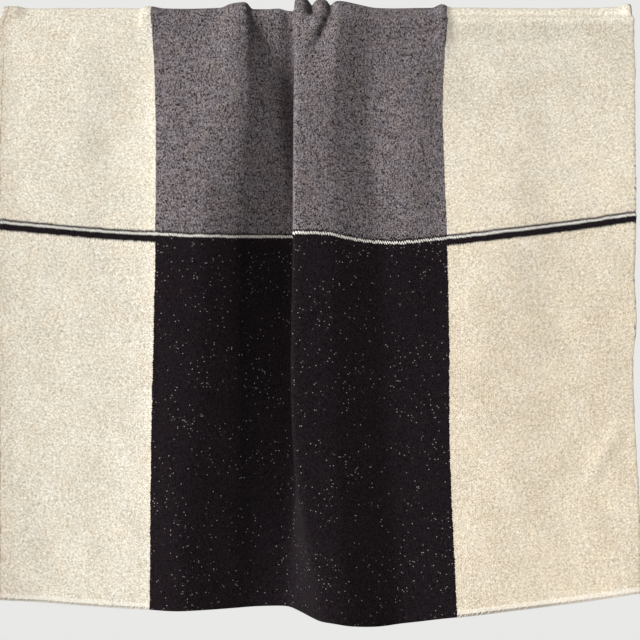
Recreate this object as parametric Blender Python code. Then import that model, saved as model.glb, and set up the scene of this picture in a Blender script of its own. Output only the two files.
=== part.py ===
"""A knitted throw blanket, hung over a rail.

The throw is one sheet of chunky double-faced knit. It is folded over the rail's place, with the
longer leg in front and the shorter one behind. Seen from the front, +X is to the right, -Y towards
the viewer and +Z up. The origin is on the rail's top, under the fold, at the middle of the width.
All sizes are in metres, but for the tables of walls, which are in millimetres.
"""

import bpy
import numpy as np

# Driving dimensions of the cloth
THROW_LENGTH = 1.70
CLOTH_THICKNESS = 0.0035
LEFT_EDGE_X = -0.603
RIGHT_EDGE_X = 0.594

# The rail, which the cloth only bends around
RAIL_RADIUS = 0.012
FOLD_RADIUS = RAIL_RADIUS + CLOTH_THICKNESS / 2

# Heights below the fold at which the table of long walls gives its values: the rail, the neck where
# the folds are tightest, the knitted band, the knee of the folds, and the hem
LEVEL_DROPS = np.array([0.0, 0.12, 0.43, 0.85, 1.14])

# How far the front leg's left edge stands in front of the rail's face, at each level
LEFT_EDGE_DEPTH = np.array([0.000, 0.010, 0.032, 0.027, 0.020])

# Walls of the folds that run from the rail to the hem. At each level: where a wall starts and ends
# across the throw, and how far it climbs towards the front in between, all in mm. Softness is the
# share of a wall's width over which its ends are rounded.
# Columns: start, end, climb, softness
LONG_WALLS = {
    "left edge falls back": (
        (-600, -600, -600, -600, -600), (-510, -510, -510, -510, -510), (0, -2, -4, -7, -12), 0.3),
    "left panel's hollow": (
        (-452, -452, -452, -452, -452), (-395, -395, -395, -395, -395), (0, -6, -4, -2, 0), 0.3),
    "shoulder at the first panel line": (
        (-372, -372, -372, -390, -440), (-289, -289, -289, -289, -310), (0, 8, 12, 14, 28), 0.2),
    "first ridge, left": (
        (-186, -232, -266, -266, -266), (-152, -165, -220, -228, -228), (12, 24, 9, 0, 0), 0.3),
    "broad slope into the valley": (
        (-217, -217, -217, -240, -280), (-140, -140, -140, -140, -125), (0, -3, -28, -30, -54), 0.15),
    "first ridge, right": (
        (-138, -140, -140, -150, -160), (-125, -60, -46, -44, -70), (-12, -58, -64, -48, -8), 0.06),
    "main fold, left": (
        (-51, -42, -38, -38, -57), (-45, -34, -30, -28, 2), (22, 52, 104, 112, 116), 0.2),
    "top of the main fold": (
        (-20, -4, -22, -20, -20), (30, 42, 42, 46, 40), (0, -6, -11, -11, 0), 0.3),
    "third ridge, right": (
        (59, 43, 44, 50, 46), (114, 88, 100, 122, 148), (-12, -22, -30, -35, -46), 0.1),
    "right swell rises": (
        (120, 120, 115, 115, 115), (186, 186, 160, 160, 160), (0, 9, 5, 3, 0), 0.3),
    "right swell falls": (
        (186, 186, 175, 175, 175), (220, 220, 220, 220, 220), (0, -5, -4, -2, 0), 0.3),
    "fall beside the second panel line": (
        (241, 241, 241, 250, 250), (276, 276, 290, 300, 300), (0, -8, -4, -3, -2), 0.3),
    "right panel's hollow, in": (
        (366, 366, 366, 366, 366), (428, 428, 428, 428, 428), (0, -5, -7, -5, 0), 0.3),
    "right panel's hollow, out": (
        (435, 435, 435, 435, 435), (488, 488, 488, 488, 488), (0, 5, 6, 6, 2), 0.3),
    "right edge flares out": (
        (520, 520, 520, 520, 520), (594, 594, 594, 594, 594), (8, 0, 0, 5, 17), 0.3),
}

# Walls that die out a short way under the rail, in mm. At the rail and at the lower end: where each
# starts and where it ends. Then its climb at the rail, and its length.
# Columns: start above, start below, end above, end below, climb, length
SHORT_WALLS = {
    "first panel line's ridge, left": (-343, -343, -335, -335, 5, 60),
    "first panel line's ridge, right": (-320, -320, -302, -302, -5, 60),
    "small facet, left": (-116, -96, -96, -76, 5, 120),
    "small facet, right": (-76, -72, -54, -58, -5, 120),
    "main fold's crest, right": (-30, -22, -15, -10, -21, 60),
    "pinched tuck, left": (-15, -30, -6, -20, 14, 75),
    "pinched tuck, right": (12, -16, 20, -7, -12, 80),
    "third ridge, left": (22, -16, 31, 24, 10, 240),
    "second panel line's ridge, left": (218, 218, 230, 230, 9, 110),
    "second panel line's ridge, right": (235, 238, 247, 252, -9, 110),
}

# Short walls are all as soft as this, and no corner of a wall is rounded less than the second value
SHORT_WALL_SOFTNESS = 0.2
LEAST_ROUNDING = 0.003

# The main fold leans to the left over the valley beside it, by this much at each level
MAIN_FOLD_LEAN = np.array([0.000, 0.014, 0.024, 0.022, 0.000])
LEANS_AFTER_WALL = "main fold, left"
UPRIGHT_AFTER_WALL = "third ridge, right"

# Where the right edge leaves its straight line: height below the fold, and how far to the right
RIGHT_EDGE_WANDER = ((0.0, 0.003), (0.12, 0.002), (0.43, -0.001), (0.60, -0.001), (0.70, -0.008),
                     (0.83, 0.0), (1.14, 0.003))

# The courses sag: place across the throw, and how far the knitted band hangs below the fold there
BAND_DROP = ((-0.604, 0.4060), (-0.32, 0.4270), (-0.17, 0.4300), (-0.06, 0.4310), (0.02, 0.4330),
             (0.06, 0.4400), (0.105, 0.4455), (0.24, 0.4360), (0.36, 0.4220), (0.475, 0.4080),
             (0.594, 0.3910))
BAND_TO_HEM = 0.7125

# The hidden back leg: how far it leans back at its hem, and the share of the folds that it keeps
BACK_LEAN = 0.045
BACK_FOLD_SHARE = 0.35

# Mesh rows and columns
COLUMNS = 60
BACK_ROWS = 6
ROLL_ROWS = 8
FRONT_ROWS = 22
COLUMN_PULL_OF_BENDS = 0.020
PROFILE_SAMPLES = 1200

# Colour of the yarn on most of the face
CREAM = (0.75, 0.70, 0.59, 1.0)


def smooth_curve(places, values, at):
    """Read a smooth curve through values given at places: a cubic between each two neighbours."""
    places = np.asarray(places, float)
    values = np.asarray(values, float)
    slopes = np.gradient(values, places, axis=-1)
    i = np.clip(np.searchsorted(places, at) - 1, 0, len(places) - 2)
    span = places[i + 1] - places[i]
    t = np.clip((at - places[i]) / span, 0.0, 1.0)
    start = values[..., i] * (1 + 2 * t) * (1 - t) ** 2 + slopes[..., i] * span * t * (1 - t) ** 2
    end = values[..., i + 1] * t ** 2 * (3 - 2 * t) + slopes[..., i + 1] * span * t ** 2 * (t - 1)
    return start + end


def curve_of_pairs(pairs, at):
    """Read a smooth curve through a table of pairs."""
    places, values = np.array(pairs).T
    return smooth_curve(places, values, at)


def rounded_ramp(x, start, end, rounding):
    """A straight ramp from 0 at start to 1 at end, with both its corners rounded."""
    after_start = x - start
    after_end = x - end
    rise = after_start + np.hypot(after_start, rounding) - after_end - np.hypot(after_end, rounding)
    return rise / (2 * (end - start))


def long_wall_ramps(x, drop):
    """Each long wall's ramp at x, and its climb, at one height."""
    ramps = {}
    for name, (starts, ends, climbs, softness) in LONG_WALLS.items():
        start, end, climb = smooth_curve(LEVEL_DROPS, np.array((starts, ends, climbs)) / 1000, drop)
        rounding = LEAST_ROUNDING + softness * (end - start)
        ramps[name] = rounded_ramp(x, start, end, rounding), climb
    return ramps


def short_wall_depth(x, drop):
    """Depth that the short walls by the rail add at x, at one height."""
    depth = np.zeros_like(x)
    for values in SHORT_WALLS.values():
        start_above, start_below, end_above, end_below, climb, length = np.array(values) / 1000
        down = min(drop / length, 1.0)
        start = start_above + down * (start_below - start_above)
        end = end_above + down * (end_below - end_above)
        fade = 0.5 + 0.5 * np.cos(np.pi * down)
        rounding = LEAST_ROUNDING + SHORT_WALL_SOFTNESS * (end - start)
        depth += fade * climb * rounded_ramp(x, start, end, rounding)
    return depth


def fold_section(x, drop):
    """Section of the folds at one height: each place moved by the lean, and its depth in front of the rail."""
    ramps = long_wall_ramps(x, drop)
    depth = smooth_curve(LEVEL_DROPS, LEFT_EDGE_DEPTH, drop) + short_wall_depth(x, drop)
    for ramp, climb in ramps.values():
        depth = depth + climb * ramp
    on_ridge = ramps[LEANS_AFTER_WALL][0] * (1 - ramps[UPRIGHT_AFTER_WALL][0])
    return x - smooth_curve(LEVEL_DROPS, MAIN_FOLD_LEAN, drop) * on_ridge, depth


def columns_at(drop):
    """Places of the mesh columns at one height: close where the cloth bends or climbs, wide elsewhere."""
    right_edge = RIGHT_EDGE_X + curve_of_pairs(RIGHT_EDGE_WANDER, drop)
    x = np.linspace(LEFT_EDGE_X, right_edge, PROFILE_SAMPLES)
    slope = np.gradient(fold_section(x, drop)[1], x)
    turning = np.abs(np.gradient(np.arctan(slope), x))
    density = np.hypot(1.0, slope) + COLUMN_PULL_OF_BENDS * turning
    reach = np.concatenate(([0.0], np.cumsum((density[1:] + density[:-1]) / 2)))
    return np.interp(np.linspace(0.0, reach[-1], COLUMNS + 1), reach, x)


def row_shares():
    """Rows from the back hem (-1) over the fold (0) to the front hem (+1), as shares of each leg."""
    back = -np.linspace(1.0, 0.0, BACK_ROWS, endpoint=False)
    front = np.linspace(0.0, 1.0, FRONT_ROWS + 1)[1:] ** 1.25
    return back, front


def cloth_grid():
    """Points of the sheet's middle surface, row by row from the back hem to the front hem."""
    back, front = row_shares()
    quarter_turn = np.pi / 2
    rows = []
    for share in back:
        rows.append((-quarter_turn, share))
    for angle in np.linspace(-quarter_turn, quarter_turn, ROLL_ROWS + 1):
        rows.append((angle, 0.0))
    for share in front:
        rows.append((quarter_turn, share))
    return np.array([cloth_row(angle, share) for angle, share in rows])


def cloth_row(angle, share):
    """One row: its angle around the rail, and its share of the way down the leg."""
    level = share * LEVEL_DROPS[-1] if share > 0 else 0.0
    x, depth = fold_section(columns_at(level), level)
    front_length = BAND_TO_HEM + curve_of_pairs(BAND_DROP, x) - RAIL_RADIUS
    back_length = THROW_LENGTH - front_length - np.pi * FOLD_RADIUS
    if share > 0:
        down = share * front_length
    else:
        down = -share * back_length
        fade = 1.0 + share * (1.0 - BACK_FOLD_SHARE)
        depth = fade * depth + BACK_LEAN * np.sin(-share * np.pi / 2)
    y = -np.sin(angle) * (FOLD_RADIUS + depth)
    z = np.cos(angle) * (FOLD_RADIUS + depth) - RAIL_RADIUS - down
    return np.column_stack((x, y, z))


def sheet_faces(rows, columns):
    """Corner numbers of the quads of a grid with the given numbers of rows and columns of points."""
    corner = np.arange(rows * columns).reshape(rows, columns)
    quads = np.stack((corner[:-1, :-1], corner[:-1, 1:], corner[1:, 1:], corner[1:, :-1]), axis=-1)
    return quads.reshape(-1, 4)


def knit_material():
    """Cream wool-like yarn: pale, rough and without shine."""
    material = bpy.data.materials.new("knit")
    material.use_nodes = True
    surface = material.node_tree.nodes["Principled BSDF"]
    surface.inputs["Base Color"].default_value = CREAM
    surface.inputs["Roughness"].default_value = 0.95
    surface.inputs["Metallic"].default_value = 0.0
    return material


def make_throw():
    """The sheet's middle surface, given its thickness on both sides."""
    grid = cloth_grid()
    mesh = bpy.data.meshes.new("throw")
    mesh.from_pydata(grid.reshape(-1, 3).tolist(), [], sheet_faces(*grid.shape[:2]).tolist())
    mesh.materials.append(knit_material())
    mesh.shade_smooth()
    throw = bpy.data.objects.new("throw", mesh)
    bpy.context.scene.collection.objects.link(throw)
    thickness = throw.modifiers.new("cloth thickness", "SOLIDIFY")
    thickness.thickness = CLOTH_THICKNESS
    thickness.offset = 0.0
    thickness.use_even_offset = True
    return throw


def clear_scene():
    """Remove what the scene holds."""
    for thing in list(bpy.data.objects):
        bpy.data.objects.remove(thing, do_unlink=True)


clear_scene()
make_throw()
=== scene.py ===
"""Looks of the knitted throw that hangs over a rail: its cloth, knit, hems, seams, light and camera.

The frame has +X to the right, -Y towards the viewer and +Z up, with the origin on the rail's top under
the fold. Sizes are in metres, but for the tables of walls and creases, which are in millimetres.
"""

import bpy
import numpy as np
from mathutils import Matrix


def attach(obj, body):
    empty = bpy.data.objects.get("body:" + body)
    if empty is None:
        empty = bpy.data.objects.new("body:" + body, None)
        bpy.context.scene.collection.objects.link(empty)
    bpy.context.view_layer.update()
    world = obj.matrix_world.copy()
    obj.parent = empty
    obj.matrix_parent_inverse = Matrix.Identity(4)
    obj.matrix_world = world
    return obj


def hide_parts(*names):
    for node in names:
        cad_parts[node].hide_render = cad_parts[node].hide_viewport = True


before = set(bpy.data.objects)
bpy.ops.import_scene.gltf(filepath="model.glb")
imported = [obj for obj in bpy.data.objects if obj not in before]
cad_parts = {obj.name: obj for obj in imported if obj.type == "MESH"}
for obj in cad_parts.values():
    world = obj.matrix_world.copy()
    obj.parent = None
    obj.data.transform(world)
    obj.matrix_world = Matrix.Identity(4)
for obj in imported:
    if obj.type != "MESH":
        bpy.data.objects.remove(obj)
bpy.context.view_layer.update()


# Camera
# Square to the throw, a little over 2 m in front of the rail and level with the middle of the
# front leg. One pixel of the 640-pixel photograph spans 1.9 mm at the rail.

PHOTO_PIXELS = 640
METRES_PER_PIXEL = 0.0019
CAMERA_DISTANCE = 2.05
CAMERA_HEIGHT = -0.592
SENSOR_MM = 36.0
RAIL_RADIUS = 0.012
CLOTH_THICKNESS = 0.0035
FOLD_RADIUS = RAIL_RADIUS + CLOTH_THICKNESS / 2

camera_data = bpy.data.cameras.new("camera")
camera_data.sensor_width = SENSOR_MM
camera_data.lens = SENSOR_MM * CAMERA_DISTANCE / (PHOTO_PIXELS * METRES_PER_PIXEL)
camera = bpy.data.objects.new("camera", camera_data)
camera.location = (0.0, -FOLD_RADIUS - CAMERA_DISTANCE, CAMERA_HEIGHT)
camera.rotation_euler = (np.pi / 2, 0.0, 0.0)
bpy.context.scene.collection.objects.link(camera)
bpy.context.scene.camera = camera


# The cloth
# One sheet of chunky double-faced jacquard, knitted in one go, 289 stitches wide. It is folded
# over a rail, with the longer leg in front, and its weight pulls it into a few deep uneven folds.

THROW_LENGTH = 1.70
THROW_WIDTH = 1.30
LEFT_EDGE_X = -0.603
RIGHT_EDGE_X = 0.594

# Heights below the fold at which the tables give their values: rail, neck, band, knee and hem. And
# how far in front of the rail's own depth the left edge hangs at each.
LEVEL_DROPS = np.array([0.0, 0.12, 0.43, 0.85, 1.14])
LEFT_EDGE_DEPTH = np.array([0.000, 0.010, 0.032, 0.027, 0.020])

# Walls of the folds that run from the rail to the hem. At each level: where a wall starts and ends
# across the throw, and how far it climbs towards the front in between. Softness is the share of a
# wall's width over which its ends are rounded.
# Columns: start, end, climb, softness
LONG_WALLS = {
    "left edge falls back": (
        (-600, -600, -600, -600, -600), (-510, -510, -510, -510, -510), (0, -2, -4, -7, -12), 0.3),
    "left panel's hollow": (
        (-452, -452, -452, -452, -452), (-395, -395, -395, -395, -395), (0, -6, -4, -2, -3), 0.3),
    "shoulder at the first panel line": (
        (-372, -372, -372, -430, -540), (-289, -289, -289, -310, -420), (0, 2, 3, 3, 4), 0.2),
    "left side of the middle panel": (
        (-325, -325, -325, -325, -322), (-283, -283, -280, -275, -262), (0, 6, 8, 10, 16), 0.2),
    "first ridge, left": (
        (-185, -232, -266, -266, -266), (-173, -165, -220, -228, -228), (8, 18, 4, 0, 0), 0.3),
    "broad slope into the valley": (
        (-217, -217, -217, -240, -280), (-140, -140, -140, -140, -125), (0, -3, -28, -30, -54), 0.15),
    "first ridge, right": (
        (-140, -143, -154, -158, -165), (-132, -60, -46, -44, -70), (-15, -52, -63, -48, -8), 0.09),
    "valley under the main fold": (
        (-74, -76, -60, -60, -60), (-54, -52, -44, -44, -44), (-3, -18, 0, 0, 0), 0.2),
    "main fold, left": (
        (-46, -41, -38, -38, -57), (-41, -34, -30, -28, 2), (29, 68, 105, 112, 121), 0.15),
    "top of the main fold": (
        (-20, -4, -22, -20, -20), (30, 42, 42, 46, 40), (0, -4, -6, -6, 0), 0.3),
    "third ridge, right": (
        (47, 43, 45, 50, 46), (100, 92, 114, 128, 148), (-14, -22, -33, -38, -46), 0.1),
    "right swell, left side": (
        (120, 120, 115, 115, 115), (186, 186, 160, 160, 160), (0, 5, 1, -3, -3), 0.3),
    "right swell, right side": (
        (186, 186, 175, 175, 175), (220, 220, 220, 220, 220), (0, -7, -6, -1, 1), 0.3),
    "slope beside the second panel line": (
        (241, 241, 241, 250, 250), (276, 276, 290, 300, 300), (0, -2, 4, 3, 0), 0.3),
    "right panel's hollow, left side": (
        (362, 362, 362, 362, 362), (446, 446, 446, 446, 446), (0, -6, -8, -6, -1), 0.3),
    "right panel's hollow, right side": (
        (455, 455, 455, 455, 455), (560, 560, 560, 560, 560), (0, 0, -2, 1, 1), 0.3),
    "slope at the right edge": (
        (520, 520, 520, 520, 520), (594, 594, 594, 594, 594), (4, 0, 0, -2, -2), 0.3),
}

# Walls that die out a short way under the rail. At the rail and at the lower end: where each starts
# and where it ends. Then its climb at the rail, and its length.
# Columns: start above, start below, end above, end below, climb, length
SHORT_WALLS = {
    "first panel line's ridge, left": (-343, -343, -335, -335, 5, 60),
    "first panel line's ridge, right": (-320, -320, -302, -302, -5, 60),
    "small facet, left": (-94, -90, -80, -76, 2.5, 60),
    "small facet, right": (-77, -70, -65, -60, -3, 60),
    "first ridge's slow rise": (-178, -178, -144, -144, 5, 60),
    "main fold's crest, right": (-22, -18, -8, -6, -21, 16),
    "pinched tuck, left": (-10, -30, 0, -14, 14, 70),
    "pinched tuck, right": (19, -9, 26, 0, -12, 80),
    "third ridge, left": (28, -12, 37, 26, 10, 240),
    "second panel line's ridge, left": (218, 218, 230, 230, 9, 110),
    "second panel line's ridge, right": (235, 238, 247, 252, -9, 110),
}

# Short walls are all as soft as this, and no corner of a wall is rounded less than the second value
SHORT_WALL_SOFTNESS = 0.2
LEAST_ROUNDING = 0.003

# Creases that lie on the folds: soft ridges (above 0) and troughs (below 0) along straight lines
# Columns: x and drop of one end, x and drop of the other end, height, width
CREASES = {
    "crest of the first ridge": (-137, 12, -137, 190, 1.2, 4),
    "crest of the third ridge": (43, 20, 43, 200, 1.2, 4),
    "crease under the pinched tuck": (26, 0, 12, 44, -3, 5),
    "end of that crease": (12, 44, -2, 72, -2, 6),
    "notch beside the pinched tuck": (-8, 0, -8, 2, -5, 5),
    "streak on the right panel": (503, 50, 560, 62, 2.6, 4),
    "left rolled corner": (-600, 0, -574, 0, 3.2, 7),
    "right rolled corner": (580, 0, 587, 0, 5.0, 5),
    "diagonal ridge on the right panel": (513, 897, 560, 821, 2.5, 14),
}

# The main fold leans to the left over the valley beside it, by this much at each level
MAIN_FOLD_LEAN = np.array([0.007, 0.017, 0.024, 0.022, 0.000])
LEANS_AFTER_WALL = "main fold, left"
UPRIGHT_AFTER_WALL = "third ridge, right"

# Where the side edges leave their straight lines: height below the fold, and how far to the right
LEFT_EDGE_WANDER = ((0.0, 0.001), (0.008, -0.0045), (0.06, -0.0062), (0.60, -0.0075), (1.14, -0.0085))
RIGHT_EDGE_WANDER = ((0.0, -0.0045), (0.03, -0.002), (0.065, 0.002), (0.10, 0.0060), (0.17, 0.0085),
                     (0.30, 0.008), (0.43, 0.005), (0.54, 0.002), (0.60, 0.005), (0.70, -0.002),
                     (0.75, -0.001), (0.83, 0.001), (0.92, 0.005), (1.14, 0.005))

# The courses sag: place across the throw, and how far the knitted band hangs below the fold there
BAND_DROP = ((-0.604, 0.4060), (-0.32, 0.4270), (-0.17, 0.4300), (-0.06, 0.4310), (0.02, 0.4330),
             (0.06, 0.4400), (0.105, 0.4455), (0.24, 0.4360), (0.36, 0.4220), (0.475, 0.4080),
             (0.594, 0.3910))
BAND_TO_HEM = 0.7125

# The knit under the band is drawn down a little more in places than its hem: place across the throw,
# and how far. The draw fades out at the hem and at this height above the band.
BAND_DRAW = ((-0.604, 0.0025), (-0.45, 0.0036), (-0.31, 0.0038), (-0.22, 0.0056), (-0.14, 0.0040),
             (-0.08, 0.0004), (0.10, 0.0004), (0.25, 0.0010), (0.594, 0.0008))
BAND_DRAW_ENDS = 0.38

# The lines between the panels: height below the fold, and place across the throw
FIRST_PANEL_LINE = ((0.0, -0.321), (0.12, -0.3130), (0.43, -0.3080), (0.80, -0.3165), (1.13, -0.3215))
SECOND_PANEL_LINE = ((0.0, 0.240), (0.12, 0.2345), (0.43, 0.2405), (0.60, 0.2440), (0.80, 0.2445),
                     (1.13, 0.2555))

# The two legs' usual lengths, the hidden back leg's lean at its hem, and its share of the folds
FRONT_LENGTH = 1.14
BACK_LENGTH = 0.52
BACK_LEAN = 0.045
BACK_FOLD_SHARE = 0.35

# Shallow dents and swells of hand size: each wave's length across and down (minus slants it the other
# way), its start and its sway in turns, and its height. All sway by so many radians per metre.
UNEVEN_WAVES = ((0.23, 0.61, 0.0, 0.0, 0.0004), (0.097, -0.19, 0.3, 0.0, 0.0003),
                (0.41, 0.13, 0.0, 0.7, 0.0003))
UNEVEN_SWAY = 8

# Bumps of the knitted side edges: each wave's length, start and sway in radians, and the sway's length.
# Then their height, and how much further along the waves the right edge is.
NUB_WAVES = ((0.0173, 0.0, 3, 0.29), (0.0291, 1.0, 2, 0.43), (0.071, 2.0, 0, 1.0))
NUB_HEIGHT = 0.0003
RIGHT_NUBS_ON = 0.5

# Stitches: each panel's width in wales, and a course's height, at which the hem to the band's cream
# course is a whole number and a half
LEFT_PANEL_WALES = 63
MIDDLE_PANEL_WALES = 148
RIGHT_PANEL_WALES = 78
ALL_WALES = LEFT_PANEL_WALES + MIDDLE_PANEL_WALES + RIGHT_PANEL_WALES
WALE_WIDTH = THROW_WIDTH / ALL_WALES
CREAM_COURSE = 165
COURSE_HEIGHT = BAND_TO_HEM / (CREAM_COURSE + 0.5)

# Mesh rows and columns. The front leg's rows come closer towards the rail, by a power, and columns
# come closer where the cloth bends. The first and last columns are a very small share of the width,
# so that the smooth shading of the side edges stays within them.
COLUMNS = 236
BACK_ROWS = 34
ROLL_ROWS = 20
FRONT_ROWS = 130
ROW_CROWDING = 1.15
COLUMN_PULL_OF_BENDS = 0.020
PROFILE_SAMPLES = 1600
NARROW_EDGE_COLUMN = 0.0009

# Both hems are rolled: how high the roll is, how thick, and the mesh rows on it in shares of its height
ROLL_HEIGHT = 0.013
ROLL_THICKNESS = 0.0064
ROLL_STEPS = ROLL_HEIGHT * np.array(
    [0.0, 0.03, 0.10, 0.22, 0.36, 0.50, 0.64, 0.78, 0.90, 0.97, 1.0, 1.15])


def smooth_curve(places, values, at):
    """A smooth curve through values at places: between neighbours, the cubic that has the values' mean
    slopes at both ends."""
    places, values, at = (np.asarray(part, float) for part in (places, values, at))
    slopes = np.gradient(values, places)
    i = np.clip(np.searchsorted(places, at) - 1, 0, len(places) - 2)
    span = places[i + 1] - places[i]
    t = np.clip((at - places[i]) / span, 0.0, 1.0)
    start = values[i] * (1 + 2 * t) * (1 - t) ** 2 + slopes[i] * span * t * (1 - t) ** 2
    end = values[i + 1] * t ** 2 * (3 - 2 * t) + slopes[i + 1] * span * t ** 2 * (t - 1)
    return start + end


def curve_of_pairs(pairs, at):
    """A smooth curve through a table of pairs."""
    places, values = np.array(pairs).T
    return smooth_curve(places, values, at)


def rounded_ramp(x, start, end, rounding):
    """A straight ramp from 0 at start to 1 at end. Each corner is a branch of a hyperbola."""
    after_start = x - start
    after_end = x - end
    rise = after_start + np.hypot(after_start, rounding) - after_end - np.hypot(after_end, rounding)
    return rise / (2 * (end - start))


def long_wall_ramps(x, drop):
    """Each long wall's ramp at x, and its climb, at the heights drop."""
    ramps = {}
    for name, (starts, ends, climbs, softness) in LONG_WALLS.items():
        start, end, climb = (smooth_curve(LEVEL_DROPS, np.array(row) / 1000, drop)
                             for row in (starts, ends, climbs))
        rounding = LEAST_ROUNDING + softness * (end - start)
        ramps[name] = rounded_ramp(x, start, end, rounding), climb
    return ramps


def short_wall_depth(x, drop):
    """Depth that the short walls add: they move in a straight line and fade by half a cosine wave."""
    depth = np.zeros(np.broadcast(x, drop).shape)
    for values in SHORT_WALLS.values():
        start_above, start_below, end_above, end_below, climb, length = np.array(values) / 1000
        down = np.clip(drop / length, 0.0, 1.0)
        start = start_above + down * (start_below - start_above)
        end = end_above + down * (end_below - end_above)
        fade = 0.5 + 0.5 * np.cos(np.pi * down)
        rounding = LEAST_ROUNDING + SHORT_WALL_SOFTNESS * (end - start)
        depth = depth + fade * climb * rounded_ramp(x, start, end, rounding)
    return depth


def fold_section(x, drop):
    """Where each place of the section at a height ends up after the lean, and its depth in front of the
    rail: the left edge's depth, the short walls, and each long wall's ramp times its climb."""
    ramps = long_wall_ramps(x, drop)
    depth = smooth_curve(LEVEL_DROPS, LEFT_EDGE_DEPTH, drop) + short_wall_depth(x, drop)
    for ramp, climb in ramps.values():
        depth = depth + climb * ramp
    on_ridge = ramps[LEANS_AFTER_WALL][0] * (1 - ramps[UPRIGHT_AFTER_WALL][0])
    return x - smooth_curve(LEVEL_DROPS, MAIN_FOLD_LEAN, drop) * on_ridge, depth


def crease_depth(x, drop):
    """Depth that the creases add: a bell curve of the distance to each crease's line."""
    depth = np.zeros(np.broadcast(x, drop).shape)
    for values in CREASES.values():
        x_one, drop_one, x_two, drop_two, height, width = np.array(values) / 1000
        along_x, along_drop = x_two - x_one, drop_two - drop_one
        share = ((x - x_one) * along_x + (drop - drop_one) * along_drop) / (along_x ** 2 + along_drop ** 2)
        share = np.clip(share, 0.0, 1.0)
        away = np.hypot(x - x_one - share * along_x, drop - drop_one - share * along_drop)
        depth = depth + height * np.exp(-(away / width) ** 2)
    return depth


def knit_unevenness(x, drop):
    """Depth that the dents and swells add: crossed waves, at most 1 mm deep together."""
    depth = 0.0
    for length_across, length_down, start, sway, height in UNEVEN_WAVES:
        turns = x / length_across + drop / length_down + (start + sway * np.sin(UNEVEN_SWAY * x))
        depth = depth + height * np.sin(2 * np.pi * turns)
    return depth


def edge_nubs(along):
    """How far the small bumps move a side edge, up to 0.9 mm, at distances along it."""
    waves = 0.0
    for length, start, sway, sway_length in NUB_WAVES:
        swayed = sway * np.sin(2 * np.pi * along / sway_length)
        waves = waves + np.sin(2 * np.pi * along / length + start + swayed)
    return NUB_HEIGHT * waves


def columns_at(drops):
    """Places of the mesh columns at each height: equal steps of a sum that grows with the section's
    length and its bends, so that columns are close where the cloth bends or climbs."""
    left_edge = LEFT_EDGE_X + curve_of_pairs(LEFT_EDGE_WANDER, drops)
    right_edge = RIGHT_EDGE_X + curve_of_pairs(RIGHT_EDGE_WANDER, drops)
    share = np.linspace(0.0, 1.0, PROFILE_SAMPLES)
    x = left_edge + share * (right_edge - left_edge)
    spacing = (right_edge - left_edge) / (PROFILE_SAMPLES - 1)
    slope = np.gradient(fold_section(x, drops)[1], axis=1) / spacing
    turning = np.abs(np.gradient(np.arctan(slope), axis=1)) / spacing
    density = np.hypot(1.0, slope) + COLUMN_PULL_OF_BENDS * turning
    reach = np.cumsum((density[:, 1:] + density[:, :-1]) / 2, axis=1)
    reach = np.concatenate((np.zeros((len(reach), 1)), reach), axis=1)
    stops = np.linspace(0.0, 1.0, COLUMNS - 1)
    stops = np.concatenate(([0.0, NARROW_EDGE_COLUMN], stops[1:-1], [1.0 - NARROW_EDGE_COLUMN, 1.0]))
    return np.array([np.interp(stops * row[-1], row, places) for row, places in zip(reach, x)])


def throw_rows():
    """For each row of the mesh: its angle around the rail, and its share of the way down its leg. The rows
    on the rolled hems come last on the front leg and first on the back leg."""
    quarter_turn = np.pi / 2
    back_hem = ROLL_STEPS / BACK_LENGTH
    back = -np.concatenate((1 - back_hem, np.linspace(1 - back_hem[-1], 0.0, BACK_ROWS + 1)[1:-1]))
    roll = np.linspace(-quarter_turn, quarter_turn, ROLL_ROWS + 1)
    front_hem = ROLL_STEPS[::-1] / FRONT_LENGTH
    front = np.linspace(0.0, 1.0, FRONT_ROWS + 1)[1:-1] ** ROW_CROWDING * (1 - front_hem[0])
    front = np.concatenate((front, 1 - front_hem))
    angles = np.concatenate((np.full(len(back), -quarter_turn), roll, np.full(len(front), quarter_turn)))
    shares = np.concatenate((back, np.zeros(ROLL_ROWS + 1), front))
    return angles[:, None], shares[:, None]


def cloth_surface():
    """Points of the sheet's middle surface, row by row from the back hem to the front hem, and the
    distance of each point above the front hem, measured along the cloth."""
    angle, share = throw_rows()
    drop = np.maximum(share, 0.0) * LEVEL_DROPS[-1]
    column = columns_at(drop)
    x, depth = fold_section(column, drop)
    in_front = share >= 0
    depth = depth + np.where(in_front, crease_depth(column, drop) + knit_unevenness(column, drop), 0.0)
    front_length = BAND_TO_HEM + curve_of_pairs(BAND_DROP, x) - RAIL_RADIUS
    roll_radius = FOLD_RADIUS + depth
    back_length = THROW_LENGTH - front_length - np.pi * FOLD_RADIUS
    down = np.where(in_front, share * front_length, -share * back_length)
    fade = np.where(in_front, 1.0, 1.0 + share * (1.0 - BACK_FOLD_SHARE))
    lean = np.where(in_front, 0.0, BACK_LEAN * np.sin(-share * np.pi / 2))
    reach = FOLD_RADIUS + fade * depth + lean
    points = np.stack((x, -np.sin(angle) * reach, np.cos(angle) * reach - RAIL_RADIUS - down), axis=-1)
    up_the_roll = front_length + (np.pi / 2 - angle) * roll_radius
    up_the_back = up_the_roll + (THROW_LENGTH - up_the_roll) * -share
    above_hem = np.where(share > 0, front_length - down, np.where(in_front, up_the_roll, up_the_back))
    points[:, 0, 0] += edge_nubs(above_hem[:, 0])
    points[:, -1, 0] += edge_nubs(above_hem[:, -1] + RIGHT_NUBS_ON)
    return points, above_hem, drop


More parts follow.
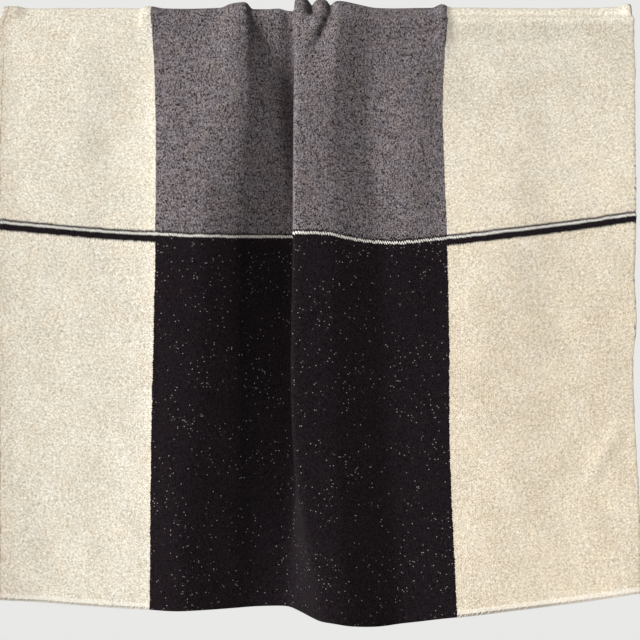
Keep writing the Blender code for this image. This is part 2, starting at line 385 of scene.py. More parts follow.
def across_the_cloth(points, drop):
    """Distance of each point from the left edge, measured along the cloth, so that each panel keeps its
    width in wales: the arc length of the section, drawn out or in between the panel lines."""
    steps = np.linalg.norm(np.diff(points, axis=1), axis=2)
    arc = np.concatenate((np.zeros((len(points), 1)), np.cumsum(steps, axis=1)), axis=1)
    lines = np.cumsum((0, LEFT_PANEL_WALES, MIDDLE_PANEL_WALES, RIGHT_PANEL_WALES)) * WALE_WIDTH
    first = curve_of_pairs(FIRST_PANEL_LINE, drop[:, 0])
    second = curve_of_pairs(SECOND_PANEL_LINE, drop[:, 0])
    rows = []
    for x, length, line_one, line_two in zip(points[..., 0], arc, first, second):
        x = np.maximum.accumulate(x)
        stops = (0.0, np.interp(line_one, x, length), np.interp(line_two, x, length), length[-1])
        rows.append(np.interp(length, stops, lines))
    return np.array(rows)


def drawn_down(x, above_hem):
    """The courses' heights above the hem where the knit is drawn down: each place shows a higher course.
    The draw grows in a straight line from the hem to the band, and fades in another above it."""
    draw = curve_of_pairs(BAND_DRAW, x)
    turns = (0.0, BAND_TO_HEM, BAND_TO_HEM + BAND_DRAW_ENDS)
    return above_hem + draw * np.interp(above_hem, turns, (0.0, 1.0, 0.0))


def sheet_faces(rows, columns):
    """Corner numbers of the quads of a grid with the given numbers of rows and columns of points."""
    corner = np.arange(rows * columns).reshape(rows, columns)
    quads = np.stack((corner[:-1, :-1], corner[1:, :-1], corner[1:, 1:], corner[:-1, 1:]), axis=-1)
    return quads.reshape(-1, 4)


def hem_swell(heights):
    """How much of the rolled hem's extra thickness each row has: half a circle over the roll's height."""
    from_hem = np.minimum(heights, THROW_LENGTH - heights).mean(axis=1)
    place = np.clip(from_hem / ROLL_HEIGHT, 0.0, 1.0)
    return np.sqrt(np.maximum(1 - (2 * place - 1) ** 2, 0.0)).tolist()


def new_piece(name, points, faces, cloth_place):
    """A mesh object at the origin, with its place on the cloth in the UV map "cloth", in metres."""
    mesh = bpy.data.meshes.new(name)
    mesh.from_pydata(points.reshape(-1, 3).tolist(), [], faces.tolist())
    corners = np.empty(len(mesh.loops), dtype=np.int32)
    mesh.loops.foreach_get("vertex_index", corners)
    uv_map = mesh.uv_layers.new(name="cloth")
    uv_map.data.foreach_set("uv", cloth_place.reshape(-1, 2)[corners].astype(np.float32).ravel())
    mesh.shade_smooth()
    piece = bpy.data.objects.new(name, mesh)
    bpy.context.scene.collection.objects.link(piece)
    return piece


surface, above_hem, row_drops = cloth_surface()
across = across_the_cloth(surface, row_drops)
throw = new_piece("knitted_throw", surface, sheet_faces(*surface.shape[:2]),
                  np.stack((across, drawn_down(surface[..., 0], above_hem)), axis=-1))
rolled_hem = throw.vertex_groups.new(name="rolled hem")
for row, swell in enumerate(hem_swell(above_hem)):
    first_point = row * surface.shape[1]
    rolled_hem.add(list(range(first_point, first_point + surface.shape[1])), swell, "REPLACE")
thickness = throw.modifiers.new("cloth thickness", "SOLIDIFY")
thickness.thickness = ROLL_THICKNESS
thickness.thickness_vertex_group = CLOTH_THICKNESS / ROLL_THICKNESS
thickness.vertex_group = rolled_hem.name
thickness.offset = 0.0
thickness.use_even_offset = True
thickness.material_offset = 1
thickness.material_offset_rim = 2


# The knit
# Stocking stitch in soft, slightly hairy yarn: cream side panels, a grey heather block over a
# near-black one with pale flecks in the middle, and a band of one black, one cream and three
# black courses. The reverse shows each stitch's other yarn.

# Stitches, in courses: how far a stitch's legs rise from its middle to its sides, how high the teeth
# of a colour's edge are, and how far they stray from wale to wale
STITCH_RISE = 0.55
TEETH = 0.75
UNEVEN_TEETH = 0.30

# The legs rise between these shares of half a wale, and a wale's sides swing by this share of it
RISE_STARTS = 0.12
RISE_ENDS = 0.88
EDGE_SCALLOP = 0.10

# The band's lines, in courses: the thin black one, the cream one, and the thick black one below
THIN_LINE_COURSES = 1.05
CREAM_LINE_COURSES = 0.74
THICK_LINE_COURSES = 3

# How a place wanders: waves per metre, and reach in metres
COARSE_RAGGEDNESS = (90.0, 0.0030)
FINE_RAGGEDNESS = (240.0, 0.0026)
STITCH_WANDER = (75.0, 0.0020)
SEAM_WANDER = (160.0, 0.0020)

# Yarn: how deep the dips between courses are and how strongly they show, what the hairs add and how
# fine they are, how much the fuzz shines, and the fibres' roughness and gloss
YARN_DEPTH = 0.0011
YARN_RELIEF = 0.3
HAIR_RELIEF = 0.35
HAIR_SCALE = 900.0
FIBRE_SHEEN = 0.035
YARN_ROUGHNESS = 0.95
YARN_GLOSS = 0.05

# Grains of colour across a wale and up a course
GRAINS_PER_WALE = 3.0
GRAINS_PER_COURSE = 3.0

# Fibres along the stitches' legs: waves per metre, stretch, slant from upright in degrees, and the
# patches that lean one way: waves per metre, and the noise at which they change over
FIBRE_SCALE = 520.0
FIBRE_STRETCH = (1.0, 3.4, 1.0)
FIBRE_SLANT = 55.0
LEAN_SCALE = 90.0
LEAN_CHANGES = (0.46, 0.54)

# Noise that all three yarns share: waves per metre and stretch, and between which values of the tint
# cream and grey change from one patch's colour to the other's
SPECK_SCALE = 560.0
SPECK_STRETCH = (1.1, 0.9, 1.0)
TINT_SCALE = 24.0
CREAM_TINT_CHANGES = (0.36, 0.64)
GREY_TINT_CHANGES = (0.40, 0.60)
SWELL_SCALE = 15.0

# Cream yarn: its warm and pale patches, what its shaded fibres tend to, and its colour on the band's
# line and, in part, on the rolled hems
CREAM_WARM = (0.985, 0.920, 0.785)
CREAM_PALE = (0.980, 0.948, 0.848)
CREAM_SHADED = (0.450, 0.375, 0.265)
CREAM_CLEAN = (0.930, 0.895, 0.820)
ROLL_CLEANNESS = 0.40
ROLL_COLOUR_FADES = 0.001

# How far strokes, specks, grains and swells shade the cream: noise from, noise to, shade from, to
STROKE_SHADE = (0.66, 0.30, 0.0, 0.45)
SPECK_SHADE = (0.40, 0.20, 0.0, 0.45)
GRAIN_SHADE = (0.75, 0.0, 0.0, 0.62)
SWELL_SHADE = (0.70, 0.30, -0.07, 0.07)

# Painted shade on the right panel, warm and darker towards the hem: its tone, the heights above the hem
# where it starts to grow and is full, and its shares there
RIGHT_PANEL_PAINTED_SHADE = (0.930, 0.875, 0.810)
PAINTED_SHADE_BY_HEIGHT = (BAND_TO_HEM + 0.35, BAND_TO_HEM - 0.2, 0.1, 0.85)

# Grey heather and black: dark and light fibres, what grain and specks add to their mix, the mix's
# range in each yarn, and the heather's two hues and darker streaks
GRAIN_IN_MARL = 0.88
SPECK_IN_MARL = (0.30, 0.70, 0.0, 0.12)
GREY_MARL = (0.20, 0.80)
GREY_DARK_FIBRE = (0.005, 0.003, 0.004)
GREY_LIGHT_FIBRE = (0.297, 0.265, 0.270)
GREY_WARM_HUE = (1.035, 0.988, 0.970)
GREY_COOL_HUE = (0.985, 0.978, 1.010)
STREAK_SCALE = 220.0
STREAK_STRETCH = (14.0, 1.0, 1.0)
STREAK_LIGHT = (0.30, 0.42, 0.70, 1.0)
BLACK_MARL = (0.10, 0.90)
BLACK_DARK_FIBRE = (0.0030, 0.0018, 0.0026)
BLACK_LIGHT_FIBRE = (0.0187, 0.0133, 0.0161)

# Neps: cells per metre and the usual share of them that hold one, the edge and the full core of the
# round dot in shares of a cell, how strong they are, and their colours
GREY_NEPS = (330.0, 0.008)
BLACK_NEPS = (340.0, 0.043)
NEP_CLUSTERS = (0.35, 0.65, 0.0, 2.0)
NEP_EDGE_AND_CORE = (0.42, 0.17)
NEP_STRENGTH = (0.10, 1.0, 0.08, 1.0)
GREY_NEP = (0.62, 0.58, 0.56)
BLACK_NEP = (0.37, 0.335, 0.32)

# Side edges: the left seam's distance from its edge, and shades by distance from the seam or an edge:
# distance from, distance to, shade from, shade to. The left edge's soft strip is painted shade. Noise
# breaks the seam's line.
LEFT_SEAM = 0.0105
SEAM_LINE = (0.0022, 0.0006, 0.0, 0.85)
LEFT_EDGE_SHADE = (0.045, 0.005, 0.0, 0.26)
RIGHT_EDGE_SHADE = (0.006, 0.002, 0.0, 0.24)
SEAM_BREAKS_SCALE = 60.0
SEAM_BREAKS = (0.36, 0.56, 0.25, 1.0)
EDGE_SHADE_COLOUR = (0.50, 0.41, 0.31)

# Dark stitches at the right edge: waves per metre, the noise above which one shows, how far in from
# the edge, and the middle and half length of the stretch that has them
DARK_STITCH_SCALE = 120.0
DARK_STITCH_FROM = 0.59
DARK_STITCH_WIDTH = 0.0040
DARK_STITCH_STRETCH = (BAND_TO_HEM - 0.04, 0.20)
DARK_STITCH_COLOUR = (0.26, 0.215, 0.21)


def math_node(tree, operation, *values):
    """The result of a Math node on values, which are numbers or sockets."""
    node = tree.nodes.new("ShaderNodeMath")
    node.operation = operation
    for socket, value in zip(node.inputs, values):
        if isinstance(value, (int, float)):
            socket.default_value = value
        else:
            tree.links.new(value, socket)
    return node.outputs[0]


def graded(tree, value, from_low, from_high, to_low=0.0, to_high=1.0, curve="LINEAR"):
    """Value, carried along a line or curve from the first range to the second and held inside it."""
    node = tree.nodes.new("ShaderNodeMapRange")
    node.interpolation_type = curve
    for label, number in (("From Min", from_low), ("From Max", from_high),
                          ("To Min", to_low), ("To Max", to_high)):
        node.inputs[label].default_value = number
    tree.links.new(value, node.inputs["Value"])
    return node.outputs["Result"]


def mixed_colour(tree, share, first, second, blend="MIX"):
    """The colour between first and second. Each is a socket or an RGB value."""
    node = tree.nodes.new("ShaderNodeMix")
    node.data_type = "RGBA"
    node.blend_type = blend
    parts = ((node.inputs["Factor"], share), (node.inputs[6], first), (node.inputs[7], second))
    for socket, value in parts:
        if isinstance(value, bpy.types.NodeSocket):
            tree.links.new(value, socket)
        elif isinstance(value, (int, float)):
            socket.default_value = value
        else:
            socket.default_value = (*value, 1.0)
    return node.outputs[2]


def lit_colour(tree, colour, light):
    """A colour socket made lighter or darker: each of its parts times light."""
    node = tree.nodes.new("ShaderNodeVectorMath")
    node.operation = "SCALE"
    tree.links.new(colour, node.inputs[0])
    tree.links.new(light, node.inputs["Scale"])
    return node.outputs["Vector"]


def noise_of(tree, place, scale, detail=2.0, stretch=(1.0, 1.0, 1.0), turn=0.0):
    """Soft noise at a place. Scale is in waves per metre. Turn, in degrees, slants a stretched noise."""
    mapping = tree.nodes.new("ShaderNodeMapping")
    mapping.vector_type = "TEXTURE"
    mapping.inputs["Rotation"].default_value = (0.0, 0.0, np.radians(turn))
    mapping.inputs["Scale"].default_value = stretch
    noise = tree.nodes.new("ShaderNodeTexNoise")
    noise.inputs["Scale"].default_value = scale
    noise.inputs["Detail"].default_value = detail
    tree.links.new(place, mapping.inputs["Vector"])
    tree.links.new(mapping.outputs["Vector"], noise.inputs["Vector"])
    return noise.outputs["Fac"]


def wandered(tree, place, scale, reach):
    """A place, moved by noise by up to about half of reach, in metres."""
    wander = tree.nodes.new("ShaderNodeTexNoise")
    wander.inputs["Scale"].default_value = scale
    wander.inputs["Detail"].default_value = 1.0
    tree.links.new(place, wander.inputs["Vector"])
    bend = tree.nodes.new("ShaderNodeVectorMath")
    bend.operation = "MULTIPLY_ADD"
    bend.inputs[1].default_value = (reach, reach, 0.0)
    tree.links.new(wander.outputs["Color"], bend.inputs[0])
    tree.links.new(place, bend.inputs[2])
    centred = tree.nodes.new("ShaderNodeVectorMath")
    centred.operation = "SUBTRACT"
    centred.inputs[1].default_value = (reach / 2, reach / 2, 0.0)
    tree.links.new(bend.outputs["Vector"], centred.inputs[0])
    return centred.outputs["Vector"]


def new_group(name, inputs, outputs, kind="NodeSocketFloat"):
    """An empty node group with its sockets. Cloth Place is a vector and the other inputs are numbers. The
    outputs are all of one kind."""
    tree = bpy.data.node_groups.new(name, "ShaderNodeTree")
    for label in inputs:
        given_kind = "NodeSocketVector" if label == "Cloth Place" else "NodeSocketFloat"
        tree.interface.new_socket(label, in_out="INPUT", socket_type=given_kind)
    for label in outputs:
        tree.interface.new_socket(label, in_out="OUTPUT", socket_type=kind)
    return tree, tree.nodes.new("NodeGroupInput").outputs, tree.nodes.new("NodeGroupOutput").inputs


def stitch_numbers(tree, place, rise):
    """Which wale and course a place lies in, both with a fraction. Across a wale, s is 0 at its middle
    and 1 at its sides. Each course rises by rise from the middle to the sides along a steep S-shaped
    curve, which makes the V."""
    parts = tree.nodes.new("ShaderNodeSeparateXYZ")
    tree.links.new(place, parts.inputs["Vector"])
    up = math_node(tree, "DIVIDE", parts.outputs["Y"], COURSE_HEIGHT)
    scallop = math_node(tree, "SINE", math_node(tree, "MULTIPLY", up, 2 * np.pi))
    along = math_node(tree, "MULTIPLY_ADD", scallop, EDGE_SCALLOP,
                      math_node(tree, "DIVIDE", parts.outputs["X"], WALE_WIDTH))
    s = math_node(tree, "ABSOLUTE", math_node(
        tree, "MULTIPLY_ADD", math_node(tree, "FRACT", along), 2.0, -1.0))
    rise_here = graded(tree, s, RISE_STARTS, RISE_ENDS, -rise / 2, rise / 2, "SMOOTHSTEP")
    return along, math_node(tree, "SUBTRACT", up, rise_here)


def stitches_group():
    """Stitches of stocking stitch. Wale and Course number the stitch whose colour shows, with ragged
    edges. Grain is a random value for each small part of a leg. Height is highest along the middle of
    a course's yarn."""
    tree, given, put_out = new_group(
        "stocking stitch", ["Cloth Place"], ["Wale", "Course", "Grain", "Height"])
    place = given["Cloth Place"]
    ragged = wandered(tree, wandered(tree, place, *COARSE_RAGGEDNESS), *FINE_RAGGEDNESS)
    edge_along, edge_risen = stitch_numbers(tree, ragged, TEETH)
    wale = math_node(tree, "FLOOR", edge_along)
    tooth = tree.nodes.new("ShaderNodeTexWhiteNoise")
    tooth.noise_dimensions = "1D"
    tree.links.new(wale, tooth.inputs["W"])
    course = math_node(tree, "MULTIPLY_ADD", tooth.outputs["Value"], UNEVEN_TEETH, edge_risen)
    course = math_node(tree, "SUBTRACT", course, UNEVEN_TEETH / 2)

    along, risen = stitch_numbers(tree, wandered(tree, place, *STITCH_WANDER), STITCH_RISE)
    number = tree.nodes.new("ShaderNodeCombineXYZ")
    for label, value, grains in (("X", along, GRAINS_PER_WALE), ("Y", risen, GRAINS_PER_COURSE)):
        grain = math_node(tree, "FLOOR", math_node(tree, "MULTIPLY", value, grains))
        tree.links.new(grain, number.inputs[label])
    chance = tree.nodes.new("ShaderNodeTexWhiteNoise")
    chance.noise_dimensions = "2D"
    tree.links.new(number.outputs["Vector"], chance.inputs["Vector"])
    up_the_yarn = math_node(tree, "MULTIPLY", math_node(tree, "FRACT", risen), np.pi)
    hair = noise_of(tree, place, HAIR_SCALE)
    height = math_node(tree, "MULTIPLY_ADD", hair, HAIR_RELIEF, math_node(tree, "SINE", up_the_yarn))
    for label, socket in (("Wale", wale), ("Course", course), ("Grain", chance.outputs["Value"]),
                          ("Height", height)):
        tree.links.new(socket, put_out[label])
    return tree


def blocks_group():
    """Which yarn a stitch shows: 1 in Black or Grey where it is that, else cream. Flecked is the black
    block without the band's lines, and Line is the band's cream course."""
    tree, given, put_out = new_group(
        "colour blocks", ["Wale", "Course"], ["Black", "Grey", "Flecked", "Line"])
    wale, course = given["Wale"], given["Course"]
    line_bottom = CREAM_COURSE + (1 - CREAM_LINE_COURSES) / 2
    line_top = line_bottom + CREAM_LINE_COURSES
    band_bottom = CREAM_COURSE - THICK_LINE_COURSES
    after_first = math_node(tree, "GREATER_THAN", wale, LEFT_PANEL_WALES - 0.5)
    before_second = math_node(tree, "LESS_THAN", wale, LEFT_PANEL_WALES + MIDDLE_PANEL_WALES - 0.5)
    middle = math_node(tree, "MULTIPLY", after_first, before_second)
    above_band = math_node(tree, "GREATER_THAN", course, line_top + THIN_LINE_COURSES)
    half_thin = THIN_LINE_COURSES / 2
    thin_line = math_node(tree, "COMPARE", course, line_top + half_thin, half_thin)
    half_thick = (line_bottom - band_bottom) / 2
    thick_line = math_node(tree, "COMPARE", course, line_bottom - half_thick, half_thick)
    below_band = math_node(tree, "LESS_THAN", course, float(band_bottom))
    black_block = math_node(tree, "MULTIPLY", middle, below_band)
    black = math_node(tree, "MAXIMUM", black_block, math_node(tree, "MAXIMUM", thin_line, thick_line))
    tree.links.new(black, put_out["Black"])
    tree.links.new(math_node(tree, "MULTIPLY", middle, black), put_out["Flecked"])
    tree.links.new(math_node(tree, "COMPARE", course, CREAM_COURSE + 0.5, 0.5), put_out["Line"])
    tree.links.new(math_node(tree, "MULTIPLY", middle, above_band), put_out["Grey"])
    return tree


def strokes_group():
    """Fibres that lie along the legs of the stitches: stretched noise, 0.5 on average, that slants to the
    left in some patches of a few stitches and to the right in others."""
    tree, given, put_out = new_group("slanted fibres", ["Cloth Place"], ["Strokes"])
    place = given["Cloth Place"]
    left = noise_of(tree, place, FIBRE_SCALE, 0.0, FIBRE_STRETCH, FIBRE_SLANT)
    right = noise_of(tree, place, FIBRE_SCALE, 0.0, FIBRE_STRETCH, -FIBRE_SLANT)
    lean = graded(tree, noise_of(tree, place, LEAN_SCALE, 1.0), *LEAN_CHANGES)
    change = math_node(tree, "MULTIPLY", math_node(tree, "SUBTRACT", right, left), lean)
    tree.links.new(math_node(tree, "ADD", left, change), put_out["Strokes"])
    return tree


def nep_mask(tree, place, scale, usual_share, clusters):
    """Small round neps of fibre: one may stand in each cell of a loose grid of scale cells per metre.
    They stand in usual_share of the cells, and in more of them in clusters, a noise."""
    cells = tree.nodes.new("ShaderNodeTexVoronoi")
    cells.voronoi_dimensions = "2D"
    cells.inputs["Scale"].default_value = scale
    tree.links.new(place, cells.inputs["Vector"])
    parts = tree.nodes.new("ShaderNodeSeparateColor")
    tree.links.new(cells.outputs["Color"], parts.inputs["Color"])
    share = math_node(tree, "MULTIPLY", graded(tree, clusters, *NEP_CLUSTERS), usual_share)
    chosen = math_node(tree, "LESS_THAN", parts.outputs["Red"], share)
    round_dot = graded(tree, cells.outputs["Distance"], *NEP_EDGE_AND_CORE)
    strength = graded(tree, parts.outputs["Green"], *NEP_STRENGTH, "SMOOTHERSTEP")
    return math_node(tree, "MULTIPLY", math_node(tree, "MULTIPLY", chosen, round_dot), strength)


def yarns_group():
    """The colours of the three yarns at a stitch: cream with warm and pale patches, grey heather of
    light and dark fibres, and black with pale neps that come in clusters. Line is 1 on the band's
    cream course, Roll on the rolled hems, and Flecked in the black block."""
    tree, given, put_out = new_group(
        "three yarns", ["Cloth Place", "Strokes", "Grain", "Line", "Roll", "Flecked"],
        ["Cream", "Grey", "Black"], "NodeSocketColor")
    place, strokes, grain = given["Cloth Place"], given["Strokes"], given["Grain"]
    specks = noise_of(tree, place, SPECK_SCALE, 0.0, SPECK_STRETCH)
    tint = noise_of(tree, place, TINT_SCALE)
    swell = noise_of(tree, place, SWELL_SCALE)

    pale = mixed_colour(tree, graded(tree, tint, *CREAM_TINT_CHANGES), CREAM_WARM, CREAM_PALE)
    shade = graded(tree, strokes, *STROKE_SHADE)
    for noise, shading in ((specks, SPECK_SHADE), (grain, GRAIN_SHADE), (swell, SWELL_SHADE)):
        shade = math_node(tree, "ADD", shade, graded(tree, noise, *shading))
    cream = mixed_colour(tree, shade, pale, CREAM_SHADED)
    across_place = tree.nodes.new("ShaderNodeSeparateXYZ")
    tree.links.new(place, across_place.inputs["Vector"])
    # Painted warm shade on the right panel, growing stronger towards the hem
    on_right = math_node(tree, "GREATER_THAN", across_place.outputs["X"], THROW_WIDTH / 2)
    down = graded(tree, across_place.outputs["Y"], *PAINTED_SHADE_BY_HEIGHT)
    painted_shade_share = math_node(tree, "MULTIPLY", on_right, down)
    cream = mixed_colour(tree, painted_shade_share, cream, RIGHT_PANEL_PAINTED_SHADE, "MULTIPLY")
    clean_roll = math_node(tree, "MULTIPLY", given["Roll"], ROLL_CLEANNESS)
    clean = math_node(tree, "MAXIMUM", clean_roll, given["Line"])
    tree.links.new(mixed_colour(tree, clean, cream, CREAM_CLEAN), put_out["Cream"])

    marl = math_node(tree, "MULTIPLY_ADD", grain, GRAIN_IN_MARL, graded(tree, specks, *SPECK_IN_MARL))
    streaks = graded(tree, noise_of(tree, place, STREAK_SCALE, 1.0, STREAK_STRETCH), *STREAK_LIGHT)
    hue = mixed_colour(tree, graded(tree, tint, *GREY_TINT_CHANGES), GREY_WARM_HUE, GREY_COOL_HUE)
    grey = mixed_colour(tree, graded(tree, marl, *GREY_MARL), GREY_DARK_FIBRE, GREY_LIGHT_FIBRE)
    grey = lit_colour(tree, mixed_colour(tree, 1.0, grey, hue, "MULTIPLY"), streaks)
    pale_nep = nep_mask(tree, place, *GREY_NEPS, swell)
    tree.links.new(mixed_colour(tree, pale_nep, grey, GREY_NEP), put_out["Grey"])

    neps = math_node(tree, "MULTIPLY", nep_mask(tree, place, *BLACK_NEPS, swell), given["Flecked"])
    black = mixed_colour(tree, graded(tree, marl, *BLACK_MARL), BLACK_DARK_FIBRE, BLACK_LIGHT_FIBRE)
    tree.links.new(mixed_colour(tree, neps, black, BLACK_NEP), put_out["Black"])
    return tree


def selvedge_group():
    """How dark the cloth is along its side edges: Shade is a thin line beside the left edge and a soft
    strip along both, the left strip being painted shade, and Dots are single dark stitches along the right
    edge, around the band. Roll is 1 on the rolled hems."""
    tree, given, put_out = new_group("edges", ["Cloth Place"], ["Shade", "Dots", "Roll"])
    place = tree.nodes.new("ShaderNodeSeparateXYZ")
    tree.links.new(wandered(tree, given["Cloth Place"], *SEAM_WANDER), place.inputs["Vector"])
    from_left = place.outputs["X"]
    from_right = math_node(tree, "SUBTRACT", THROW_WIDTH, from_left)
    broken = graded(tree, noise_of(tree, given["Cloth Place"], SEAM_BREAKS_SCALE), *SEAM_BREAKS)
    from_seam = math_node(tree, "ABSOLUTE", math_node(tree, "SUBTRACT", from_left, LEFT_SEAM))
    seam = math_node(tree, "MULTIPLY", graded(tree, from_seam, *SEAM_LINE), broken)
    left_shade = graded(tree, from_left, *LEFT_EDGE_SHADE)
    right_shade = graded(tree, from_right, *RIGHT_EDGE_SHADE)
    shade = math_node(tree, "MAXIMUM", math_node(tree, "MAXIMUM", seam, left_shade), right_shade)
    tree.links.new(shade, put_out["Shade"])

    spread = noise_of(tree, given["Cloth Place"], DARK_STITCH_SCALE, 1.0)
    chosen = math_node(tree, "GREATER_THAN", spread, DARK_STITCH_FROM)
    at_edge = math_node(tree, "LESS_THAN", from_right, DARK_STITCH_WIDTH)
    near_band = math_node(tree, "COMPARE", place.outputs["Y"], *DARK_STITCH_STRETCH)
    dots = math_node(tree, "MULTIPLY", math_node(tree, "MULTIPLY", chosen, at_edge), near_band)
    tree.links.new(dots, put_out["Dots"])

    straight = tree.nodes.new("ShaderNodeSeparateXYZ")
    tree.links.new(given["Cloth Place"], straight.inputs["Vector"])
    height = straight.outputs["Y"]
    back_roll_starts = THROW_LENGTH - ROLL_HEIGHT
    front_roll = graded(tree, height, ROLL_HEIGHT, ROLL_HEIGHT - ROLL_COLOUR_FADES)
    back_roll = graded(tree, height, back_roll_starts, back_roll_starts + ROLL_COLOUR_FADES)
    tree.links.new(math_node(tree, "MAXIMUM", front_roll, back_roll), put_out["Roll"])
    return tree


STITCHES = stitches_group()
BLOCKS = blocks_group()
STROKES = strokes_group()
YARNS = yarns_group()
SELVEDGE = selvedge_group()


def placed_group(tree, group, inputs):
    """A node group put into a material, with its inputs linked."""
    node = tree.nodes.new("ShaderNodeGroup")
    node.node_tree = group
    for label, socket in inputs.items():
        tree.links.new(socket, node.inputs[label])
    return node.outputs


def knit_material(name, reverse):
    """The knit's face, or its reverse, where cream stands behind black and black behind cream."""
    material = bpy.data.materials.new(name)
    material.use_nodes = True
    tree = material.node_tree
    surface_shader = tree.nodes["Principled BSDF"]
    surface_shader.inputs["Roughness"].default_value = YARN_ROUGHNESS
    surface_shader.inputs["Specular IOR Level"].default_value = YARN_GLOSS
    surface_shader.inputs["Sheen Weight"].default_value = FIBRE_SHEEN
    uv_map = tree.nodes.new("ShaderNodeUVMap")
    uv_map.uv_map = "cloth"
    place = uv_map.outputs["UV"]
    stitch = placed_group(tree, STITCHES, {"Cloth Place": place})
    block = placed_group(tree, BLOCKS, {"Wale": stitch["Wale"], "Course": stitch["Course"]})
    strokes = placed_group(tree, STROKES, {"Cloth Place": place})["Strokes"]
    edge = placed_group(tree, SELVEDGE, {"Cloth Place": place})
    yarn = placed_group(tree, YARNS, {
        "Cloth Place": place, "Strokes": strokes, "Grain": stitch["Grain"], "Line": block["Line"],
        "Roll": edge["Roll"], "Flecked": block["Flecked"]})
    if reverse:
        behind_light = mixed_colour(tree, block["Black"], yarn["Black"], yarn["Cream"])
        colour = mixed_colour(tree, block["Grey"], behind_light, yarn["Grey"])
    else:
        # Painted shade in a soft strip along the left edge, with the darker seam line and a thin darker
        # strip along the right edge
        cream = mixed_colour(tree, edge["Shade"], yarn["Cream"], EDGE_SHADE_COLOUR, "MULTIPLY")
        cream = mixed_colour(tree, edge["Dots"], cream, DARK_STITCH_COLOUR)
        with_black = mixed_colour(tree, block["Black"], cream, yarn["Black"])
        colour = mixed_colour(tree, block["Grey"], with_black, yarn["Grey"])
    tree.links.new(colour, surface_shader.inputs["Base Color"])
    bump = tree.nodes.new("ShaderNodeBump")
    bump.inputs["Distance"].default_value = YARN_DEPTH
    bump.inputs["Strength"].default_value = YARN_RELIEF
    tree.links.new(stitch["Height"], bump.inputs["Height"])
    tree.links.new(bump.outputs["Normal"], surface_shader.inputs["Normal"])
    return material


throw.data.materials.append(knit_material("knit face", reverse=False))
throw.data.materials.append(knit_material("knit reverse", reverse=True))
throw.data.materials.append(knit_material("knit side edge", reverse=False))

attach(throw, "root")
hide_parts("throw")


# The hem stitches
# Short slanted stitches of dark brown-grey yarn that bind the rolled hems, one in each wale of the
# cream panels, from the front of the roll to its back under the edge.

# The yarn's radius, and how much thinner the stitches are towards the right: place, and share
STITCH_YARN_RADIUS = 0.00105
THIN_STITCHES = ((0.40, 1.0), (0.56, 0.55))

# Each stitch turns around the roll from the first angle to the second, measured down from the front,
# and slants sideways by this much on the way, of which the given share comes before its wale's
# middle. A wave of its number, in radians, varies where it starts, by a share, and where it stands.
STITCH_FROM = np.radians(12.0)
STITCH_TO = np.radians(165.0)
STITCH_SLANT = 0.0085
SLANT_STARTS = 0.3
UNEVEN_START = 0.4
STITCH_UNEVENNESS = 0.0007
WOBBLE_WAVE = 2.4
WOBBLE_SWAY = 1.7
SWAY_WAVE = 0.37
STITCH_RINGS = 7
STITCH_SIDES = 5
STITCH_YARN_COLOUR = (0.185, 0.148, 0.134, 1.0)


def hem_line(row, wales):
    """Points of a hem's edge in the middle of each of these wales."""
    places = (wales + 0.5) * WALE_WIDTH
    return np.stack([np.interp(places, across[row], surface[row, :, axis]) for axis in range(3)], axis=-1)


def stitches_along(edge):
    """Tubes that wrap an edge of the throw, seen with the edge's points from left to right. Their path is
    an arc around the roll's middle, in the plane of front and down, and drifts sideways as it turns. A
    wave of a wave of each stitch's number makes them uneven."""
    side = np.gradient(edge, axis=0)
    side = side / np.linalg.norm(side, axis=1, keepdims=True)
    down = np.array((0.0, 0.0, -1.0))
    out = -np.cross(side, down)
    out = out / np.linalg.norm(out, axis=1, keepdims=True)
    number = np.arange(len(edge))
    wobble = np.sin(WOBBLE_WAVE * number + WOBBLE_SWAY * np.sin(SWAY_WAVE * number))
    wobble = wobble[:, None, None, None]
    share = np.linspace(0.0, 1.0, STITCH_RINGS)[None, :, None, None]
    start = STITCH_FROM * (1 + UNEVEN_START * wobble)
    turn = start + share * (STITCH_TO - start)
    around = (2 * np.pi * np.arange(STITCH_SIDES) / STITCH_SIDES)[None, None, :, None]
    edge, side, out = (part[:, None, None, :] for part in (edge, side, out))
    forward = np.cos(turn) * out
    downward = np.sin(turn) * down
    half_height = ROLL_HEIGHT / 2
    path = edge - half_height * down + ROLL_THICKNESS / 2 * forward + half_height * downward
    path = path + (STITCH_SLANT * (SLANT_STARTS - share) + STITCH_UNEVENNESS * wobble) * side
    radius = STITCH_YARN_RADIUS * np.interp(edge[..., :1], *zip(*THIN_STITCHES))
    return path + radius * (np.cos(around) * side + np.sin(around) * (forward + downward))


def stitch_faces(count):
    """Quads around each tube and a flat end at both its ends."""
    ring = np.arange(STITCH_SIDES)
    following = (ring + 1) % STITCH_SIDES
    start = STITCH_SIDES * np.arange(STITCH_RINGS - 1)[:, None]
    wall = np.stack((start + ring, start + following, start + STITCH_SIDES + following,
                     start + STITCH_SIDES + ring), axis=-1).reshape(-1, 4)
    last = STITCH_SIDES * (STITCH_RINGS - 1)
    firsts = STITCH_SIDES * STITCH_RINGS * np.arange(count)
    walls = (firsts[:, None, None] + wall).reshape(-1, 4).tolist()
    ends = [list(range(first + STITCH_SIDES - 1, first - 1, -1)) for first in firsts.tolist()]
    far_ends = [list(range(first + last, first + last + STITCH_SIDES)) for first in firsts.tolist()]
    return walls + ends + far_ends


right_panel_wales = np.arange(ALL_WALES - RIGHT_PANEL_WALES, ALL_WALES)
cream_wales = np.concatenate((np.arange(LEFT_PANEL_WALES), right_panel_wales))
tubes = [stitches_along(hem_line(-1, cream_wales)), stitches_along(hem_line(0, cream_wales[::-1]))]
stitch_mesh = bpy.data.meshes.new("hem_stitches")
tube_points = np.concatenate(tubes).reshape(-1, 3).tolist()
stitch_mesh.from_pydata(tube_points, [], stitch_faces(2 * len(cream_wales)))
stitch_mesh.shade_smooth()
hem_stitches = bpy.data.objects.new("hem_stitches", stitch_mesh)
bpy.context.scene.collection.objects.link(hem_stitches)

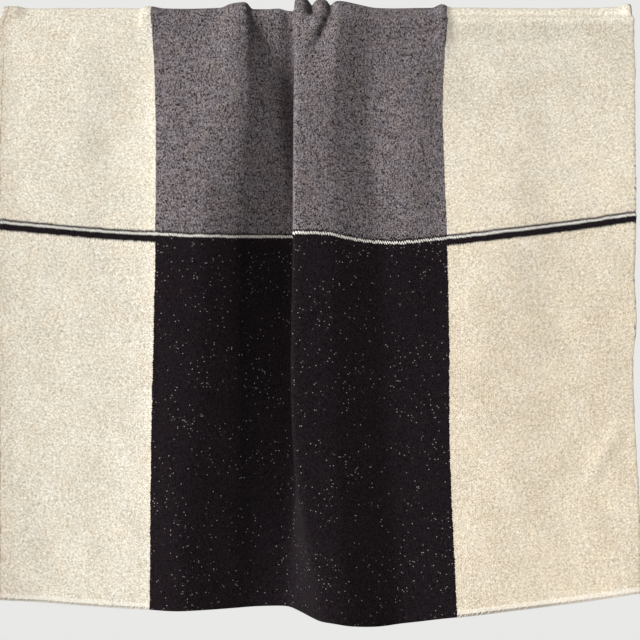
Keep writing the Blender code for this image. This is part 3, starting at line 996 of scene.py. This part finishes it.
stitch_yarn = bpy.data.materials.new("brown-grey yarn")
stitch_yarn.use_nodes = True
stitch_shader = stitch_yarn.node_tree.nodes["Principled BSDF"]
stitch_shader.inputs["Base Color"].default_value = STITCH_YARN_COLOUR
stitch_shader.inputs["Roughness"].default_value = YARN_ROUGHNESS
stitch_mesh.materials.append(stitch_yarn)

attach(hem_stitches, "root")


# Floor
# A round platform of pale matt board, well under the hem and just outside the photograph's view.

FLOOR_RADIUS = 1.75
FLOOR_HEIGHT = -1.75
FLOOR_STEPS = 96
FLOOR_COLOUR = (0.66, 0.66, 0.65, 1.0)
FLOOR_ROUGHNESS = 0.9

around_floor = np.linspace(0.0, 2 * np.pi, FLOOR_STEPS, endpoint=False)
floor_ring = FLOOR_RADIUS * np.stack((np.cos(around_floor), np.sin(around_floor)), axis=1)
rim = np.column_stack((floor_ring, np.full(FLOOR_STEPS, FLOOR_HEIGHT)))
floor_mesh = bpy.data.meshes.new("floor")
floor_mesh.from_pydata(rim.tolist(), [], [list(range(FLOOR_STEPS))])
floor = bpy.data.objects.new("floor", floor_mesh)
bpy.context.scene.collection.objects.link(floor)
floor_material = bpy.data.materials.new("pale board")
floor_material.use_nodes = True
floor_shader = floor_material.node_tree.nodes["Principled BSDF"]
floor_shader.inputs["Base Color"].default_value = FLOOR_COLOUR
floor_shader.inputs["Roughness"].default_value = FLOOR_ROUGHNESS
floor_mesh.materials.append(floor_material)


# Light
# One very large soft light to the left of the camera, and a faint even light from all around. The
# camera sees that surrounding as plain pale grey.

KEY_TURN = np.radians(50.0)
KEY_RISE = np.radians(12.0)
KEY_SPREAD = np.radians(50.0)
KEY_STRENGTH = 4.85
FILL_STRENGTH = 0.115
FILL_COLOUR = (1.0, 1.0, 1.0, 1.0)
BACKDROP = (0.815, 0.815, 0.800, 1.0)

key_data = bpy.data.lights.new("key light", "SUN")
key_data.angle = KEY_SPREAD
key_data.energy = KEY_STRENGTH
key = bpy.data.objects.new("key light", key_data)
key.rotation_euler = (np.pi / 2 - KEY_RISE, 0.0, -KEY_TURN)
bpy.context.scene.collection.objects.link(key)

world = bpy.data.worlds.new("studio")
world.use_nodes = True
bpy.context.scene.world = world
sky = world.node_tree
backdrop = sky.nodes["Background"]
backdrop.inputs["Color"].default_value = BACKDROP
fill = sky.nodes.new("ShaderNodeBackground")
fill.inputs["Color"].default_value = FILL_COLOUR
fill.inputs["Strength"].default_value = FILL_STRENGTH
light_path = sky.nodes.new("ShaderNodeLightPath")
either = sky.nodes.new("ShaderNodeMixShader")
sky.links.new(light_path.outputs["Is Camera Ray"], either.inputs["Fac"])
sky.links.new(fill.outputs["Background"], either.inputs[1])
sky.links.new(backdrop.outputs["Background"], either.inputs[2])
sky.links.new(either.outputs["Shader"], sky.nodes["World Output"].inputs["Surface"])

bpy.context.scene.view_settings.view_transform = "Standard"
bpy.context.scene.view_settings.look = "None"
